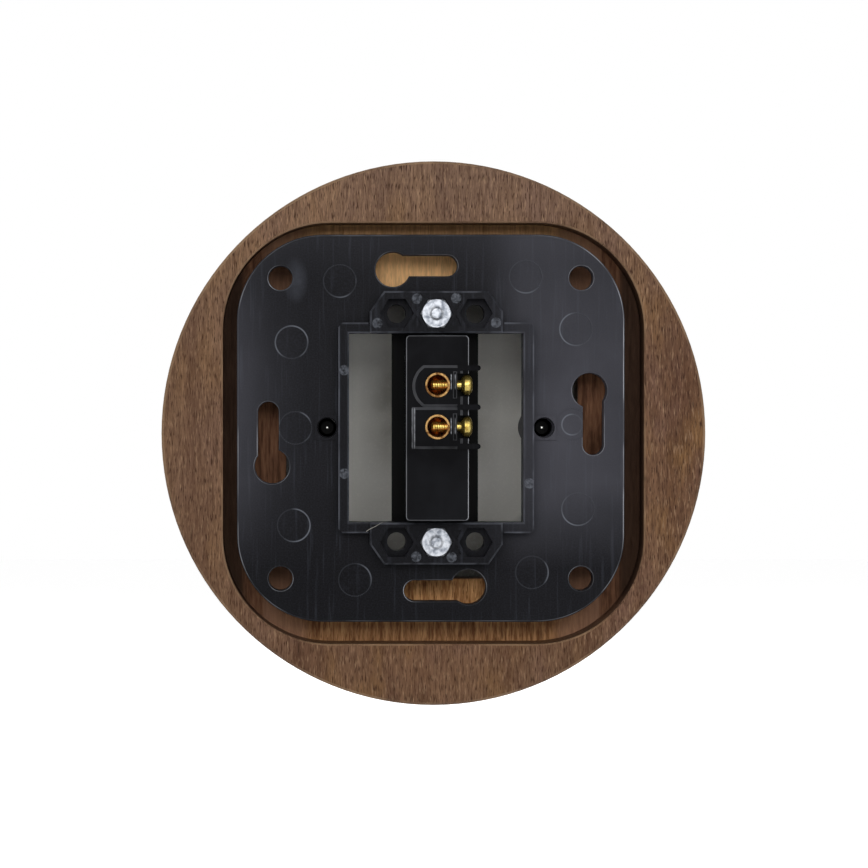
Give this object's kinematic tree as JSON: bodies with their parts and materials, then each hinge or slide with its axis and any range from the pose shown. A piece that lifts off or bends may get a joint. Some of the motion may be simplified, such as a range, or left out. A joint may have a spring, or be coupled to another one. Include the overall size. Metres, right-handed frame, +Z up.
{
  "type": "wall toggle switch",
  "caption": "Round wall switch with a stained wooden ring, white porcelain cover, black moulded mounting plate and brass screw terminals.",
  "frame": {"origin": "centre of the mounting plate's square of corner holes, on the wall plane", "axes": "+Z up, +Y into the wall, so the porcelain cover and the lever face -Y"},
  "size_m": [0.1005, 0.0517, 0.1005],
  "materials": {
    "wood_ring": "stained beech, matt",
    "mounting_plate": "moulded, satin",
    "ceramic_cover": "white glaze outside",
    "switch_base": "moulded, gloss",
    "switch_front": "moulded",
    "toggle_lever": "moulded, gloss",
    "toggle_pin": "drawn",
    "toggle_spring": "spring wire",
    "rocker_contact": "pressed",
    "moving_contact": "silver alloy",
    "fixed_contact": "silver alloy",
    "common_terminal": "pressed and drawn",
    "load_terminal": "pressed and drawn",
    "clamp_screw_common": "turned",
    "clamp_screw_load": "turned",
    "mounting_nut_top": "zinc plated",
    "mounting_nut_bottom": "zinc plated",
    "mounting_screw_top": "zinc plated",
    "mounting_screw_bottom": "zinc plated",
    "cover_screw_a": "nickel plated",
    "cover_screw_b": "nickel plated",
    "cover_washer_a": "vulcanised fibre",
    "cover_washer_b": "vulcanised fibre"
  },
  "bodies": {
    "housing": {"wood_ring": "wood_ring", "mounting_plate": "mounting_plate", "ceramic_cover": "ceramic_cover", "switch_base": "switch_base", "switch_front": "switch_front", "toggle_pin": "toggle_pin", "toggle_spring": "toggle_spring", "fixed_contact": "fixed_contact", "common_terminal": "common_terminal", "load_terminal": "load_terminal", "clamp_screw_common": "clamp_screw_common", "clamp_screw_load": "clamp_screw_load", "mounting_nut_top": "mounting_nut_top", "mounting_nut_bottom": "mounting_nut_bottom", "mounting_screw_top": "mounting_screw_top", "mounting_screw_bottom": "mounting_screw_bottom", "cover_screw_a": "cover_screw_a", "cover_screw_b": "cover_screw_b", "cover_washer_a": "cover_washer_a", "cover_washer_b": "cover_washer_b"},
    "lever": {"toggle_lever": "toggle_lever"},
    "rocker": {"rocker_contact": "rocker_contact", "moving_contact": "moving_contact"}
  },
  "joints": [
    {"name": "toggle_hinge", "type": "hinge", "parent": "housing", "child": "lever", "pos_m": [-0.0009, -0.014, 0.00012], "axis": [1, 0, 0], "range_deg": [0, 32], "deforming": ["toggle_spring"]},
    {"name": "rocker_hinge", "type": "hinge", "parent": "housing", "child": "rocker", "pos_m": [-0.0009, -0.0026, 0.00012], "axis": [1, 0, 0], "range_deg": [0, 20]}
  ],
  "couplings": [
    {"joint": "rocker_hinge", "follows": "toggle_hinge", "ratio": 0.625}
  ]
}
